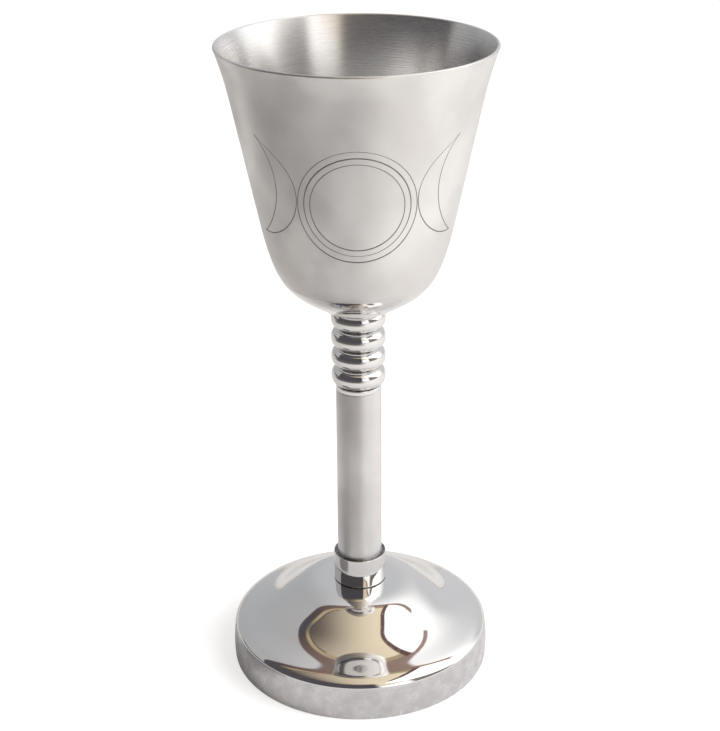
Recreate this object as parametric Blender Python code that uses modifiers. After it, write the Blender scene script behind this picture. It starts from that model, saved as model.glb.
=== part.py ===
"""Communion chalice: a spun steel cup on a beaded stem and a domed foot.

The pieces stack on one vertical axis and a threaded rod clamps them together:
cup, four bead rings, spigot, stem tube, ferrule and foot, with a washer, a spring
washer and a nut under the foot.  Units are metres, +Z is up, and the origin is the
centre of the circle that the foot rests on.  The front of the cup faces -Y.
"""
import math

import bmesh
import bpy

# ---------------------------------------------------------------- driving dimensions
HEIGHT = 0.1821             # table to the top of the rim
FIT_GAP = 0.0003            # clearance kept between neighbouring pieces
SHEET = 0.0008              # wall of the spun cup and foot

CUP_BOTTOM_Z = 0.1095       # underside of the cup
CUP_FLAT_R = 0.0080         # flat seat under the cup
CUP_SEAT_ARC_R = 0.0037     # rounding from the seat into the belly
CUP_BELLY_ANGLE = math.radians(34.0)   # slope where that rounding ends
CUP_BELLY_PULL = 0.0102     # length of the belly curve's lower handle
CUP_WALL_PULL = 0.0200      # length of its upper handle
CUP_WALL_START_Z = 0.1350   # the straight, slightly flaring wall starts here
CUP_WALL_R = 0.02918        # outer radius of the wall at CUP_WALL_REF_Z
CUP_WALL_REF_Z = 0.1500
CUP_WALL_TAPER = 0.2067     # growth in radius for each unit of height
CUP_LIP_START_Z = 0.1660    # the lip turns out above this height
CUP_LIP_FLARE = 0.00097     # by this much at the rim
CUP_LIP_POWER = 2.6

BEAD_COUNT = 4
BEAD_PITCH = 0.0057
BEAD_R = 0.00755            # at the widest point
BEAD_BORE_R = 0.0038

TUBE_R = 0.00635            # half-inch stock tube
TUBE_WALL = 0.0010
NECK_HEIGHT = 0.0011        # polished shoulder between the beads and the tube
SPIGOT_SHANK_R = 0.0035     # carries the beads
SPIGOT_PLUG_LENGTH = 0.0080 # plug in the tube

FERRULE_R = 0.0075
FERRULE_TOP_Z = 0.0332
FERRULE_FLOOR = 0.0015

FOOT_CROWN_Z = 0.0242       # flat seat on top of the foot
FOOT_CROWN_R = 0.0075
FOOT_CROWN_SLOPE = 2.8      # slopes are in degrees below the horizontal
FOOT_RUNS = (               # down the outer side: length, slope at its end, steps
    (0.0043, 2.8, 1),       # nearly flat crown
    (0.0061, 31.0, 4),      # rounding off the crown
    (0.0080, 40.0, 2),      # steep flank
    (0.0096, 19.0, 3),      # easing out into the brim
    (0.0018, 20.0, 1),      # narrow brim
    (0.0044, 78.0, 4),      # shoulder
)
FOOT_SKIRT_END = 95.0       # the skirt is drawn in slightly at the bottom edge
FOOT_FLANGE = 0.0034        # flat width turned in under the foot

ROD_R = 0.0020              # M4
ROD_CHAMFER = 0.0004
ROD_STICK_OUT = 0.0024      # below the nut
THREAD_HOLE_R = ROD_R + FIT_GAP
BOSS_LENGTH = 0.0072
BOSS_BLIND = 0.0010         # metal left above its threaded hole
WASHER_R = 0.0072
WASHER_THICK = 0.0012
SPRING_R = 0.0037
SPRING_THICK = 0.0009
SPRING_SPLIT = 0.0009
SPRING_SLANT = math.radians(25.0)
NUT_ACROSS_FLATS = 0.0070
NUT_HEIGHT = 0.0032
NUT_CHAMFER = 0.0004

LARGE_STEPS = 48            # turns of the cup, foot, stem and ferrule
SMALL_STEPS = 32            # turns of the small pieces
ARC_STEPS = 5

# ---------------------------------------------------------------- heights of the stack
LIP_SLOPE = CUP_WALL_TAPER + CUP_LIP_POWER * CUP_LIP_FLARE / (HEIGHT - CUP_LIP_START_Z)
RIM_Z = HEIGHT - SHEET * math.sin(math.atan(LIP_SLOPE))   # outer edge of the square-cut rim
BEAD_HEIGHT = BEAD_PITCH - FIT_GAP
BEADS_TOP_Z = CUP_BOTTOM_Z - FIT_GAP
BEADS_BOTTOM_Z = BEADS_TOP_Z - (BEAD_COUNT - 1) * BEAD_PITCH - BEAD_HEIGHT
NECK_TOP_Z = BEADS_BOTTOM_Z - FIT_GAP
NECK_BOTTOM_Z = NECK_TOP_Z - NECK_HEIGHT
TUBE_TOP_Z = NECK_BOTTOM_Z - FIT_GAP
FERRULE_BOTTOM_Z = FOOT_CROWN_Z + FIT_GAP
TUBE_BOTTOM_Z = FERRULE_BOTTOM_Z + FERRULE_FLOOR + FIT_GAP
BOSS_BOTTOM_Z = BEADS_TOP_Z - BOSS_LENGTH
SPIGOT_TOP_Z = BOSS_BOTTOM_Z - FIT_GAP
WASHER_BOTTOM_Z = FOOT_CROWN_Z - SHEET - FIT_GAP - WASHER_THICK
SPRING_BOTTOM_Z = WASHER_BOTTOM_Z - FIT_GAP - SPRING_THICK
NUT_BOTTOM_Z = SPRING_BOTTOM_Z - FIT_GAP - NUT_HEIGHT
ROD_BOTTOM_Z = NUT_BOTTOM_Z - ROD_STICK_OUT
ROD_TOP_Z = BEADS_TOP_Z - BOSS_BLIND - FIT_GAP


# ---------------------------------------------------------------- scene and materials
def clear_scene():
    for obj in list(bpy.data.objects):
        bpy.data.objects.remove(obj)


def new_collection(name):
    collection = bpy.data.collections.new(name)
    bpy.context.scene.collection.children.link(collection)
    return collection


def steel(name, colour, roughness):
    material = bpy.data.materials.new(name)
    material.use_nodes = True
    shader = material.node_tree.nodes["Principled BSDF"]
    shader.inputs["Base Color"].default_value = (*colour, 1.0)
    shader.inputs["Metallic"].default_value = 1.0
    shader.inputs["Roughness"].default_value = roughness
    return material


# ---------------------------------------------------------------- outlines, as (r, z)
def arc(centre, radius, start_deg, end_deg, steps=ARC_STEPS):
    """Points on a circle, from one angle to another, both ends included."""
    angles = [start_deg + (end_deg - start_deg) * i / steps for i in range(steps + 1)]
    return [(centre[0] + radius * math.cos(math.radians(a)),
             centre[1] + radius * math.sin(math.radians(a))) for a in angles]


def bezier(p0, p1, p2, p3, steps):
    """Points on a cubic curve, without its first point."""
    points = []
    for i in range(1, steps + 1):
        t = i / steps
        weights = ((1 - t) ** 3, 3 * t * (1 - t) ** 2, 3 * t * t * (1 - t), t ** 3)
        points.append(tuple(sum(w * p[axis] for w, p in zip(weights, (p0, p1, p2, p3)))
                            for axis in (0, 1)))
    return points


def follow(start, slope, runs):
    """Points down a chain of arcs, the start included. A run is (length, end slope, steps)."""
    points = [start]
    for length, end_slope, steps in runs:
        for i in range(steps):
            angle = math.radians(slope + (end_slope - slope) * (i + 0.5) / steps)
            r, z = points[-1]
            points.append((r + length / steps * math.cos(angle),
                           z - length / steps * math.sin(angle)))
        slope = end_slope
    return points


def cup_wall_r(z):
    """Outer radius of the cup's wall and lip at height z."""
    radius = CUP_WALL_R + CUP_WALL_TAPER * (z - CUP_WALL_REF_Z)
    lip = max(0.0, (z - CUP_LIP_START_Z) / (RIM_Z - CUP_LIP_START_Z))
    return radius + CUP_LIP_FLARE * lip ** CUP_LIP_POWER


def cup_outline():
    """Outer side of the cup, from the rim down to the axis."""
    seat = arc((CUP_FLAT_R, CUP_BOTTOM_Z + CUP_SEAT_ARC_R), CUP_SEAT_ARC_R,
               -90, -90 + math.degrees(CUP_BELLY_ANGLE), 2)
    belly_start = seat[-1]
    belly_end = (cup_wall_r(CUP_WALL_START_Z), CUP_WALL_START_Z)
    slant = math.hypot(1.0, CUP_WALL_TAPER)
    lower_handle = (belly_start[0] + CUP_BELLY_PULL * math.cos(CUP_BELLY_ANGLE),
                    belly_start[1] + CUP_BELLY_PULL * math.sin(CUP_BELLY_ANGLE))
    upper_handle = (belly_end[0] - CUP_WALL_PULL * CUP_WALL_TAPER / slant,
                    belly_end[1] - CUP_WALL_PULL / slant)
    belly = bezier(belly_start, lower_handle, upper_handle, belly_end, 6)
    lip_steps = 3
    lip_height = RIM_Z - CUP_LIP_START_Z
    heights = [CUP_LIP_START_Z + lip_height * i / lip_steps for i in range(lip_steps + 1)]
    lip = [(cup_wall_r(z), z) for z in heights]
    upwards = [(0.0, CUP_BOTTOM_Z)] + seat + belly + lip
    return upwards[::-1]


def foot_outline():
    """Outer side of the foot, from the rod's hole down and in to the flange's edge."""
    top = follow((FOOT_CROWN_R, FOOT_CROWN_Z), FOOT_CROWN_SLOPE, FOOT_RUNS)
    skirt_top = top[-1]
    skirt_slope = FOOT_RUNS[-1][1]
    turn = math.radians(FOOT_SKIRT_END - skirt_slope)
    fall = math.cos(math.radians(skirt_slope)) - math.cos(math.radians(FOOT_SKIRT_END))
    skirt = follow(skirt_top, skirt_slope, [(skirt_top[1] * turn / fall, FOOT_SKIRT_END, 4)])
    edge_r = skirt[-1][0]
    outline = [(THREAD_HOLE_R, FOOT_CROWN_Z)] + top + skirt[1:-1]
    return outline + [(edge_r, 0.0), (edge_r - FOOT_FLANGE, 0.0)]


def ring_outline(inner_r, outer_r, bottom_z, top_z):
    """A plain ring, as a closed outline that runs down its outer side."""
    return [(outer_r, top_z), (outer_r, bottom_z), (inner_r, bottom_z), (inner_r, top_z)]


def bead_outline(top_z):
    """A half-round ring with a straight bore and two flat faces."""
    half = BEAD_HEIGHT / 2
    section = arc((BEAD_R - half, top_z - half), half, 90, -90, 8)
    return section + [(BEAD_BORE_R, top_z - BEAD_HEIGHT), (BEAD_BORE_R, top_z)]


def boss_outline():
    hole_top = BEADS_TOP_Z - BOSS_BLIND
    return [(0.0, BEADS_TOP_Z), (SPIGOT_SHANK_R, BEADS_TOP_Z),
            (SPIGOT_SHANK_R, BOSS_BOTTOM_Z), (THREAD_HOLE_R, BOSS_BOTTOM_Z),
            (THREAD_HOLE_R, hole_top), (0.0, hole_top)]


def spigot_outline():
    plug_r = TUBE_R - TUBE_WALL - FIT_GAP
    plug_bottom = NECK_BOTTOM_Z - SPIGOT_PLUG_LENGTH
    return [(SPIGOT_SHANK_R, SPIGOT_TOP_Z), (SPIGOT_SHANK_R, NECK_TOP_Z),
            (TUBE_R, NECK_TOP_Z), (TUBE_R, NECK_BOTTOM_Z), (plug_r, NECK_BOTTOM_Z),
            (plug_r, plug_bottom), (THREAD_HOLE_R, plug_bottom), (THREAD_HOLE_R, SPIGOT_TOP_Z)]


def ferrule_outline():
    socket_r = TUBE_R + FIT_GAP
    floor_z = FERRULE_BOTTOM_Z + FERRULE_FLOOR
    return [(FERRULE_R, FERRULE_TOP_Z), (FERRULE_R, FERRULE_BOTTOM_Z),
            (THREAD_HOLE_R, FERRULE_BOTTOM_Z), (THREAD_HOLE_R, floor_z),
            (socket_r, floor_z), (socket_r, FERRULE_TOP_Z)]


def rod_outline():
    tip = ROD_R - ROD_CHAMFER
    return [(0.0, ROD_TOP_Z), (tip, ROD_TOP_Z), (ROD_R, ROD_TOP_Z - ROD_CHAMFER),
            (ROD_R, ROD_BOTTOM_Z + ROD_CHAMFER), (tip, ROD_BOTTOM_Z), (0.0, ROD_BOTTOM_Z)]


def nut_outline():
    """A turned blank whose chamfers trim the corners of the hexagon."""
    corner_r = NUT_ACROSS_FLATS / math.sqrt(3)
    face_r = NUT_ACROSS_FLATS / 2
    top_z = NUT_BOTTOM_Z + NUT_HEIGHT
    return [(0.0, top_z), (face_r, top_z), (corner_r, top_z - NUT_CHAMFER),
            (corner_r, NUT_BOTTOM_Z + NUT_CHAMFER), (face_r, NUT_BOTTOM_Z), (0.0, NUT_BOTTOM_Z)]


# ---------------------------------------------------------------- building blocks
def turned(name, outline, base_z, steps, closed, collection, material=None, sheet=None):
    """Turn an outline about the Z axis; with sheet, give the open surface that thickness."""
    mesh = bpy.data.meshes.new(name)
    count = len(outline)
    edges = [(i, i + 1) for i in range(count - 1)]
    if closed:
        edges.append((count - 1, 0))
    mesh.from_pydata([(r, 0.0, z - base_z) for r, z in outline], edges, [])
    obj = bpy.data.objects.new(name, mesh)
    obj.location.z = base_z
    collection.objects.link(obj)
    screw = obj.modifiers.new("turn", "SCREW")
    screw.axis = "Z"
    screw.angle = 2 * math.pi
    screw.steps = steps
    screw.render_steps = steps
    screw.use_merge_vertices = True
    screw.merge_threshold = 0.00001
    screw.use_smooth_shade = True
    weld = obj.modifiers.new("close the axis", "WELD")
    weld.merge_threshold = 0.00001
    if sheet:
        wall = obj.modifiers.new("sheet", "SOLIDIFY")
        wall.thickness = sheet
        wall.offset = -1.0
        wall.use_even_offset = True
    if material:
        mesh.materials.append(material)
    return obj


def as_cutter(obj):
    obj.hide_render = True
    obj.display_type = "WIRE"
    return obj


def from_bmesh(name, shape, collection, material=None):
    mesh = bpy.data.meshes.new(name)
    shape.to_mesh(mesh)
    shape.free()
    obj = bpy.data.objects.new(name, mesh)
    collection.objects.link(obj)
    if material:
        mesh.materials.append(material)
    return obj


def combine(obj, tool, operation):
    modifier = obj.modifiers.new(operation.lower(), "BOOLEAN")
    modifier.operation = operation
    modifier.object = tool
    modifier.solver = "EXACT"


# ---------------------------------------------------------------- pieces
def make_cup(parts, satin, polished):
    cup = turned("bowl", cup_outline(), CUP_BOTTOM_Z, LARGE_STEPS, False, parts, satin, SHEET)
    boss = turned("bowl_boss", boss_outline(), BOSS_BOTTOM_Z, SMALL_STEPS, False, parts, polished)
    return [cup, boss]


def make_beads(parts, polished):
    beads = []
    for i in range(BEAD_COUNT):
        top_z = BEADS_TOP_Z - i * BEAD_PITCH
        beads.append(turned("bead_ring_%d" % (i + 1), bead_outline(top_z), top_z - BEAD_HEIGHT,
                            SMALL_STEPS, True, parts, polished))
    return beads


def make_stem(parts, satin, polished, bright):
    tube_outline = ring_outline(TUBE_R - TUBE_WALL, TUBE_R, TUBE_BOTTOM_Z, TUBE_TOP_Z)
    spigot = turned("stem_spigot", spigot_outline(), NECK_BOTTOM_Z, LARGE_STEPS, True,
                    parts, polished)
    tube = turned("stem_tube", tube_outline, TUBE_BOTTOM_Z, LARGE_STEPS, True, parts, satin)
    ferrule = turned("stem_ferrule", ferrule_outline(), FERRULE_BOTTOM_Z, LARGE_STEPS, True,
                     parts, polished)
    rod = turned("tie_rod", rod_outline(), ROD_BOTTOM_Z, SMALL_STEPS, False, parts, bright)
    return [spigot, tube, ferrule, rod]


def make_foot(parts, polished):
    return turned("base_dome", foot_outline(), 0.0, LARGE_STEPS, False, parts, polished, SHEET)


def make_washer(parts, bright):
    outline = ring_outline(THREAD_HOLE_R, WASHER_R, WASHER_BOTTOM_Z, WASHER_BOTTOM_Z + WASHER_THICK)
    return turned("clamp_washer", outline, WASHER_BOTTOM_Z, SMALL_STEPS, True, parts, bright)


def make_spring_washer(parts, cutters, bright):
    """A ring with one slanted split."""
    outline = ring_outline(THREAD_HOLE_R, SPRING_R, SPRING_BOTTOM_Z, SPRING_BOTTOM_Z + SPRING_THICK)
    washer = turned("spring_washer", outline, SPRING_BOTTOM_Z, SMALL_STEPS, True, parts, bright)
    shape = bmesh.new()
    bmesh.ops.create_cube(shape, size=1.0)
    bmesh.ops.scale(shape, vec=(SPRING_R, SPRING_SPLIT, 3 * SPRING_THICK), verts=shape.verts)
    split = as_cutter(from_bmesh("spring_washer_split", shape, cutters))
    split.location = (THREAD_HOLE_R + SPRING_R / 4, 0.0, SPRING_BOTTOM_Z + SPRING_THICK / 2)
    split.rotation_euler.x = SPRING_SLANT
    combine(washer, split, "DIFFERENCE")
    return washer


def make_nut(parts, cutters, bright):
    shape = bmesh.new()
    corner_r = NUT_ACROSS_FLATS / math.sqrt(3)
    bmesh.ops.create_cone(shape, cap_ends=True, segments=6, radius1=corner_r,
                          radius2=corner_r, depth=NUT_HEIGHT)
    nut = from_bmesh("hex_nut", shape, parts, bright)
    nut.location.z = NUT_BOTTOM_Z + NUT_HEIGHT / 2
    blank = turned("hex_nut_blank", nut_outline(), NUT_BOTTOM_Z, SMALL_STEPS, False, cutters)
    bore = bmesh.new()
    bmesh.ops.create_cone(bore, cap_ends=True, segments=SMALL_STEPS,
                          radius1=THREAD_HOLE_R, radius2=THREAD_HOLE_R, depth=2 * NUT_HEIGHT)
    hole = as_cutter(from_bmesh("hex_nut_bore", bore, cutters))
    hole.location = nut.location
    combine(nut, as_cutter(blank), "INTERSECT")
    combine(nut, hole, "DIFFERENCE")
    return nut


def build():
    clear_scene()
    parts = new_collection("chalice")
    cutters = new_collection("chalice_cutters")
    satin = steel("satin_steel", (0.74, 0.73, 0.71), 0.34)
    polished = steel("polished_steel", (0.70, 0.69, 0.69), 0.07)
    bright = steel("zinc_plated_steel", (0.60, 0.61, 0.63), 0.28)
    pieces = make_cup(parts, satin, polished)
    pieces += make_beads(parts, polished)
    pieces += make_stem(parts, satin, polished, bright)
    pieces.append(make_foot(parts, polished))
    pieces.append(make_washer(parts, bright))
    pieces.append(make_spring_washer(parts, cutters, bright))
    pieces.append(make_nut(parts, cutters, bright))
    whole = bpy.data.objects.new("chalice", None)
    parts.objects.link(whole)
    for piece in pieces:
        piece.parent = whole


build()
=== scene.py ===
"""Looks of a steel chalice: an engraved satin cup on a polished bead stack, a plain tube and a domed foot.

Everything is in metres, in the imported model's frame: +Z up along the common axis, the engraving on -Y.
Outlines are (r, z) points of turned pieces, and run down the outer side of the metal.
"""

import math

import bmesh
import bpy
from mathutils import Matrix, Vector
from mathutils.kdtree import KDTree


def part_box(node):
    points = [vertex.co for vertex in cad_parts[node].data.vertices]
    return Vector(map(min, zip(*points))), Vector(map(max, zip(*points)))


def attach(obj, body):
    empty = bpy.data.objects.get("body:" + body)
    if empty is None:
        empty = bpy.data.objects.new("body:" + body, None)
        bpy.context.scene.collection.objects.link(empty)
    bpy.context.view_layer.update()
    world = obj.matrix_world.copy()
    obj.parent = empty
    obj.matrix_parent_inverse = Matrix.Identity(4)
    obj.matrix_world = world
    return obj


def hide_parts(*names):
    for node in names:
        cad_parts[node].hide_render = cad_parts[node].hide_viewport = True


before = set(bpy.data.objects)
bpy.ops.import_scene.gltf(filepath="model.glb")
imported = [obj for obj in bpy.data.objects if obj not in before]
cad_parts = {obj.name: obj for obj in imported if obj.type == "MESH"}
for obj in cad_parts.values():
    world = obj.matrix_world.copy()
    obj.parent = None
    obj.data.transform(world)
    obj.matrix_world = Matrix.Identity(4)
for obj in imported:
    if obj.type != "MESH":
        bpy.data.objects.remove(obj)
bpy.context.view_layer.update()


def extent(node):
    """Outer radius, lowest z and highest z of a turned CAD node."""
    low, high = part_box(node)
    return high.x, low.z, high.z


# ---------------------------------------------------------------- sizes
SHEET = 0.0008                       # wall of the spun cup and foot

_, CUP_BOTTOM_Z, CUP_TOP_Z = extent("bowl")
CUP_FLAT_R = 0.0080                  # flat seat under the cup
CUP_SEAT_ARC_R = 0.0037              # rounding from the seat into the belly
CUP_BELLY_ANGLE = 34.0               # slope where that rounding ends
CUP_BELLY_PULL = 0.0102
CUP_WALL_PULL = 0.0200
CUP_WALL_START_Z = 0.1350
CUP_WALL_R = 0.02918                 # outer radius of the wall at CUP_WALL_REF_Z
CUP_WALL_REF_Z = 0.1500
CUP_WALL_TAPER = 0.2067
CUP_LIP_START_Z = 0.1660
CUP_LIP_FLARE = 0.00097
CUP_LIP_POWER = 2.6
CUP_RIM_Z = CUP_TOP_Z - 0.00054      # the outer side ends here, and the rounded lip goes on
CUP_SEAT_STEPS = 8
CUP_BELLY_STEPS = 44
CUP_WALL_STEPS = 40
CUP_LIP_STEPS = 10

BEADS = ["bead_ring_%d" % number for number in (1, 2, 3, 4)]
BEAD_R = extent(BEADS[0])[0]
BEAD_TOPS = [extent(name)[2] for name in BEADS]
BEAD_PITCH = BEAD_TOPS[0] - BEAD_TOPS[1]
BEAD_BORE_R = 0.0038
BEAD_FULL = 0.86                     # 1 is a half circle; less is fuller
BEAD_STEPS = 60

TUBE_R, _, TUBE_TOP_Z = extent("stem_tube")
TUBE_WALL = 0.0010
NECK_R, SPIGOT_BOTTOM_Z, SPIGOT_TOP_Z = extent("stem_spigot")
SPIGOT_SHANK_R = 0.0035
FERRULE_R, _, FERRULE_TOP_Z = extent("stem_ferrule")
FERRULE_FLOOR = 0.0015
FERRULE_EDGE_R = 0.00045             # rounding of its bottom edge
CONTACT_SHADE_HEIGHT = 0.00035                # painted contact shadow round the bottom of the ferrule, where it sits on the foot
SOLDER_DEPTH = 0.0001                # and dark solder on its level top faces, to this depth
LEVEL = 0.9                          # a face is level when its normal's z is over this
NECK_GAP = 0.0003

FOOT_CROWN_Z = extent("base_dome")[2]
FOOT_CROWN_R = 0.0075
FOOT_CROWN_SLOPE = 2.8               # slopes are in degrees below the horizontal
FOOT_RUNS = (                        # down the outer side: length, slope at its end
    (0.0043, 2.8),                   # nearly flat crown
    (0.0061, 31.0),                  # rounding off the crown
    (0.0076, 39.0),                  # steep flank
    (0.0084, 20.0),                  # easing out into the brim
    (0.0041, 21.0),                  # brim
    (0.0020, 49.0),                  # shoulder
    (0.0014, 82.0),                  # tighter edge above the skirt
)
FOOT_STEP = 0.0001
FOOT_EASE = 16                       # steps each way over which the slope is evened out
FOOT_SKIRT_END = 95.0
FOOT_SKIRT_STEPS = 16
FOOT_SATIN_Z = 0.0098                # the skirt is satin below this height
FOOT_FLANGE = 0.0034                 # flat width turned in under the foot
FOOT_EDGE_R = 0.00035                # rounding of the bottom edge
FOOT_FILLET_R = 1.2 * SHEET          # rounding inside, from the flange up into the skirt
FOOT_FILLET_TOP = 2.2 * SHEET

ROD_HOLE_R = 0.0023
THREAD_PITCH = 0.0007
THREAD_DEPTH = 0.0004
THREAD_FLAT = 0.125                  # the sides overshoot by this share: flat crest and root
THREAD_TURN = 32                     # steps round the thread
THREAD_ROWS = 8                      # rows of points in one pitch
BOSS_BLIND_GAP = 0.0003
SPRING_SPLIT = 0.0009
SPRING_SLANT = math.tan(math.radians(25.0))
SPLIT_REACH = (0.001, 0.005)         # the split is cut from and to these distances along +X
NUT_CHAMFER = 0.0004
NUT_TURN = 96                        # steps round the nut
COS_30 = math.cos(math.radians(30.0))

BIG_TURN = 360                       # steps round the large turned pieces
SMALL_TURN = 160                     # and round the small ones
TOUCH = 0.00001                      # left between faces that meet
ON_AXIS = 1e-7                       # a point nearer the axis than this is on it
MERGE = 1e-7                         # points nearer each other than this become one
NO_LENGTH = 1e-9                     # a step of an outline shorter than this is passed over
SOFT_EDGE = 0.00025                  # rounding of edges on the neck and the ferrule
FINE_EDGE = 0.00020                  # on the tube, the boss and the washer
SPRING_EDGE = 0.00010                # and on the spring washer
EDGE_STEPS = 5
TURNED_SHARP = 40.0                  # edges that turn by more degrees than this stay sharp
THREAD_SHARP = 50.0
CUT_SHARP = 20.0


# ---------------------------------------------------------------- outlines
def arc(centre, radius, start, end, steps):
    """Points on a circle between two angles in degrees, both ends included."""
    angles = [math.radians(start + (end - start) * i / steps) for i in range(steps + 1)]
    return [(centre[0] + radius * math.cos(a), centre[1] + radius * math.sin(a)) for a in angles]


def bezier(p0, p1, p2, p3, steps):
    """Points on a cubic curve, without its first point."""
    points = []
    for i in range(1, steps + 1):
        t = i / steps
        weights = ((1 - t) ** 3, 3 * t * (1 - t) ** 2, 3 * t * t * (1 - t), t ** 3)
        points.append(tuple(sum(w * p[axis] for w, p in zip(weights, (p0, p1, p2, p3)))
                            for axis in (0, 1)))
    return points


def slopes_of(slope, runs, step):
    """Slopes in degrees at even steps down a chain of arcs. A run is (length, end slope)."""
    slopes = []
    for length, end_slope in runs:
        steps = round(length / step)
        slopes += [slope + (end_slope - slope) * (i + 0.5) / steps for i in range(steps)]
        slope = end_slope
    return slopes


def eased(values, reach):
    """A running average, which leaves the two ends as they are."""
    result = []
    for i in range(len(values)):
        span = min(reach, i, len(values) - 1 - i)
        near = values[i - span:i + span + 1]
        result.append(sum(near) / len(near))
    return result


def follow(start, slopes, step):
    """Points that go down these slopes by even steps, the start included."""
    points = [start]
    for slope in slopes:
        r, z = points[-1]
        angle = math.radians(slope)
        points.append((r + step * math.cos(angle), z - step * math.sin(angle)))
    return points


def normals_of(outline):
    """Unit vectors that point out of the metal, for an outline that runs down its outer side."""
    normals = []
    for i in range(len(outline)):
        before = outline[max(i - 1, 0)]
        after = outline[min(i + 1, len(outline) - 1)]
        dr, dz = after[0] - before[0], after[1] - before[1]
        length = math.hypot(dr, dz)
        normals.append((-dz / length, dr / length))
    return normals


def inset(outline, distance):
    """The outline moved into the metal."""
    return [(r - distance * nr, z - distance * nz)
            for (r, z), (nr, nz) in zip(outline, normals_of(outline))]


def rounded(corners, radius):
    """A closed outline with each corner rounded; a corner is (r, z) or (r, z, its own radius)."""
    points = []
    for i, corner in enumerate(corners):
        here = Vector(corner[:2])
        size = corner[2] if len(corner) > 2 else radius
        back = (Vector(corners[i - 1][:2]) - here).normalized()
        on = (Vector(corners[(i + 1) % len(corners)][:2]) - here).normalized()
        if size == 0:
            points.append(tuple(here))
            continue
        start, end = here + back * size, here + on * size
        for k in range(EDGE_STEPS + 1):
            t = k / EDGE_STEPS
            points.append(tuple(start * (1 - t) ** 2 + here * 2 * t * (1 - t) + end * t * t))
    return points


def cup_wall_r(z):
    """Outer radius of the cup's wall: a straight taper that flares towards the rim."""
    lip = max(0.0, (z - CUP_LIP_START_Z) / (CUP_RIM_Z - CUP_LIP_START_Z))
    return (CUP_WALL_R + CUP_WALL_TAPER * (z - CUP_WALL_REF_Z)
            + CUP_LIP_FLARE * lip ** CUP_LIP_POWER)


def cup_outer():
    """The cup's outer side, from the rim down to the axis."""
    angle = math.radians(CUP_BELLY_ANGLE)
    seat = arc((CUP_FLAT_R, CUP_BOTTOM_Z + CUP_SEAT_ARC_R), CUP_SEAT_ARC_R,
               -90, -90 + CUP_BELLY_ANGLE, CUP_SEAT_STEPS)
    start = seat[-1]
    end = (cup_wall_r(CUP_WALL_START_Z), CUP_WALL_START_Z)
    slant = math.hypot(1.0, CUP_WALL_TAPER)
    belly = bezier(start,
                   (start[0] + CUP_BELLY_PULL * math.cos(angle),
                    start[1] + CUP_BELLY_PULL * math.sin(angle)),
                   (end[0] - CUP_WALL_PULL * CUP_WALL_TAPER / slant,
                    end[1] - CUP_WALL_PULL / slant),
                   end, CUP_BELLY_STEPS)
    height = CUP_RIM_Z - CUP_WALL_START_Z
    heights = [CUP_WALL_START_Z + height * i / CUP_WALL_STEPS for i in range(1, CUP_WALL_STEPS + 1)]
    wall = [(cup_wall_r(z), z) for z in heights]
    flat = [(0.0, CUP_BOTTOM_Z), (CUP_FLAT_R * 0.5, CUP_BOTTOM_Z)]
    return (flat + seat + belly + wall)[::-1]


def cup_outline():
    """Round the cup's section: outer side down to the axis, inner side up again, rounded lip."""
    outer = cup_outer()
    inner = inset(outer, SHEET)[::-1]
    inner[0] = (0.0, CUP_BOTTOM_Z + SHEET)
    nr, nz = normals_of(outer)[0]
    middle = (outer[0][0] - SHEET / 2 * nr, outer[0][1] - SHEET / 2 * nz)
    outward = math.degrees(math.atan2(nz, nr))
    lip = arc(middle, SHEET / 2, outward + 180, outward, CUP_LIP_STEPS)
    return outer + inner + lip[1:-1]


def foot_outer():
    """The foot's outer side, from the flat crown down, and the radius that it ends at."""
    slopes = eased(slopes_of(FOOT_CROWN_SLOPE, FOOT_RUNS[:-1], FOOT_STEP), FOOT_EASE)
    slopes += slopes_of(FOOT_RUNS[-2][1], FOOT_RUNS[-1:], FOOT_STEP)
    top = follow((FOOT_CROWN_R, FOOT_CROWN_Z), slopes, FOOT_STEP)
    slope = FOOT_RUNS[-1][1]
    turn = math.radians(FOOT_SKIRT_END - slope)
    fall = math.cos(math.radians(slope)) - math.cos(math.radians(FOOT_SKIRT_END))
    length = top[-1][1] * turn / fall
    step = length / FOOT_SKIRT_STEPS
    skirt = follow(top[-1], slopes_of(slope, [(length, FOOT_SKIRT_END)], step), step)
    return top[::2] + skirt[:-1], skirt[-1][0]


def foot_outline(hole_r):
    """Round the foot's section: over the crown, down the skirt, in along the flange, back inside."""
    outer, edge_r = foot_outer()
    edge = arc((edge_r - FOOT_EDGE_R, FOOT_EDGE_R), FOOT_EDGE_R, 0, -90, EDGE_STEPS)
    flange_r = edge_r - FOOT_FLANGE
    lip = arc((flange_r, SHEET / 2), SHEET / 2, 270, 90, 8)
    inside = [p for p in inset(outer, SHEET) if p[1] > FOOT_FILLET_TOP]
    fillet = arc((edge_r - FOOT_FILLET_TOP, FOOT_FILLET_TOP), FOOT_FILLET_R, -90, 0, 6)
    return ([(hole_r, FOOT_CROWN_Z)] + outer + edge + lip + fillet + inside[::-1]
            + [(hole_r, FOOT_CROWN_Z - SHEET)])


# ---------------------------------------------------------------- meshes
def turned(name, outline, steps, sharp=TURNED_SHARP):
    """A solid turned about +Z from a closed outline. Points on the axis become one point each."""
    verts, rings = [], []
    for r, z in outline:
        if r < ON_AXIS:
            rings.append([len(verts)] * steps)
            verts.append((0.0, 0.0, z))
            continue
        rings.append(list(range(len(verts), len(verts) + steps)))
        for j in range(steps):
            angle = math.tau * j / steps
            verts.append((r * math.cos(angle), r * math.sin(angle), z))
    faces = []
    for upper, lower in zip(rings, rings[1:] + rings[:1]):
        for j in range(steps):
            k = (j + 1) % steps
            corners = list(dict.fromkeys((upper[j], lower[j], lower[k], upper[k])))
            if len(corners) > 2:
                faces.append(corners)
    mesh = bpy.data.meshes.new(name)
    mesh.from_pydata(verts, [], faces)
    return smooth_shaded(placed(name, mesh), sharp)


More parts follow.
